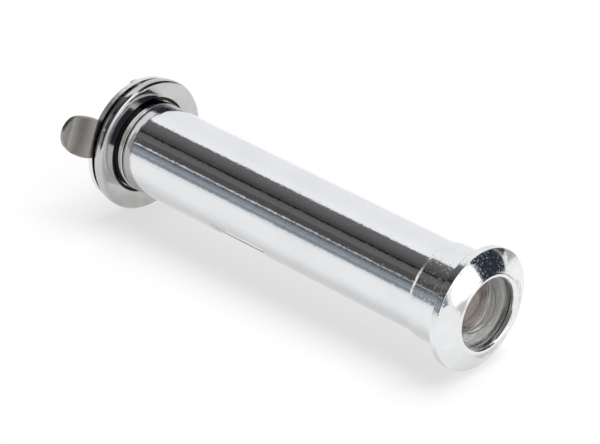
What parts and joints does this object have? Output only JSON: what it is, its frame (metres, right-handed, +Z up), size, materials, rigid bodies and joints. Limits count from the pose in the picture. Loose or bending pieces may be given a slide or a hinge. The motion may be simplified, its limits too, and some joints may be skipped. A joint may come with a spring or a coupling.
{
  "type": "door viewer",
  "caption": "Long chromed tube through a door, with a wide-angle lens in an outside flange, and inside a loose rosette, a screw-in eyepiece barrel and a swinging privacy cover.",
  "frame": {"origin": "on the viewer's axis, in the plane where the outer flange rests on the door's outside face", "axes": "+Y along the axis from the outside lens to the eyepiece, +Z up towards the cover's pivot"},
  "size_m": [0.0236, 0.0743, 0.0208],
  "materials": {
    "chromed_tube": "mirror chrome plating on brass, slightly pitted",
    "chromed_casting": "chrome plating on a rough casting, speckled",
    "nickelled_brass": "polished nickel plating on turned brass",
    "polished_steel": "polished pressed steel with fine turning lines",
    "satin_steel": "satin grey steel sheet",
    "optical_glass": "clear polished glass",
    "turned_aluminium": "fine turned",
    "grey_plastic": "moulded, matte",
    "black_plastic": "moulded, matte",
    "black_rubber": "smooth rubber"
  },
  "bodies": {
    "objective_half": {"outer_tube": "chromed_tube", "objective_head": "chromed_casting", "front_lens_gasket": "black_rubber", "front_lens": "optical_glass", "lens_cell": "grey_plastic", "cell_clip_ring": "turned_aluminium", "second_lens": "optical_glass", "middle_spacer": "turned_aluminium", "third_lens": "optical_glass", "objective_retaining_ring": "black_plastic"},
    "rosette_group": {"rosette": "polished_steel", "cover_washer": "polished_steel", "cover_pivot_pin": "satin_steel"},
    "eyepiece_half": {"eyepiece_barrel": "nickelled_brass", "field_stop": "black_plastic", "field_lens": "optical_glass", "eyepiece_lens_washer": "black_rubber", "eyepiece_lens": "optical_glass", "eyepiece_retainer": "black_plastic"},
    "cover": {"privacy_cover": "satin_steel"}
  },
  "joints": [
    {"name": "barrel_extend", "type": "slide", "parent": "objective_half", "child": "rosette_group", "axis": [0, 1, 0], "range_m": [0, 0.035]},
    {"name": "barrel_screw", "type": "hinge", "parent": "rosette_group", "child": "eyepiece_half", "pos_m": [0, 0, 0], "axis": [0, 1, 0], "range_deg": [0, 12600]},
    {"name": "cover_swing", "type": "hinge", "parent": "rosette_group", "child": "cover", "pos_m": [0, 0.068, 0.00885], "axis": [0, 1, 0], "range_deg": [0, 110]}
  ],
  "couplings": [
    {"joint": "barrel_extend", "follows": "barrel_screw", "m_per_rad": 0.00015915}
  ]
}
